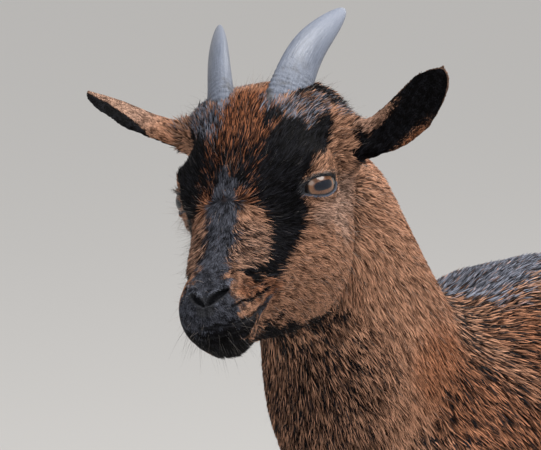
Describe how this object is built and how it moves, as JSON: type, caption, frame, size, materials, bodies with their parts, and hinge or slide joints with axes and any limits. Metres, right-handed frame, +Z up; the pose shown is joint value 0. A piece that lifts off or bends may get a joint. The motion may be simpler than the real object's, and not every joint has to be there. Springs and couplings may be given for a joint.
{
  "type": "goat",
  "caption": "Young dwarf goat with short curved horns, standing with its head turned to its left, as a still life-size model.",
  "frame": {"origin": "on the floor, under the middle of the goat's bounding box", "axes": "+Z up, +Y from the head towards the tail along the body, +X towards the goat's left"},
  "size_m": [0.2362, 0.7206, 0.6234],
  "materials": {
    "body_coat": "matte",
    "head_coat": "matte",
    "dark_coat": "matte",
    "ear_coat": "matte",
    "horn": "satin",
    "hoof": "satin",
    "eye": "gloss"
  },
  "bodies": {
    "root": {"head": "head_coat", "lower_jaw": "dark_coat", "neck": "body_coat", "trunk": "body_coat", "tail": "dark_coat", "leg_fore_left": "dark_coat", "leg_fore_right": "dark_coat", "leg_hind_left": "dark_coat", "leg_hind_right": "dark_coat", "claw_fore_left_outer": "hoof", "dewclaw_fore_left_outer": "hoof", "claw_fore_left_inner": "hoof", "dewclaw_fore_left_inner": "hoof", "claw_fore_right_outer": "hoof", "dewclaw_fore_right_outer": "hoof", "claw_fore_right_inner": "hoof", "dewclaw_fore_right_inner": "hoof", "claw_hind_left_outer": "hoof", "dewclaw_hind_left_outer": "hoof", "claw_hind_left_inner": "hoof", "dewclaw_hind_left_inner": "hoof", "claw_hind_right_outer": "hoof", "dewclaw_hind_right_outer": "hoof", "claw_hind_right_inner": "hoof", "dewclaw_hind_right_inner": "hoof", "eye_left": "eye", "horn_left": "horn", "ear_left": "ear_coat", "eye_right": "eye", "horn_right": "horn", "ear_right": "ear_coat"}
  },
  "joints": []
}
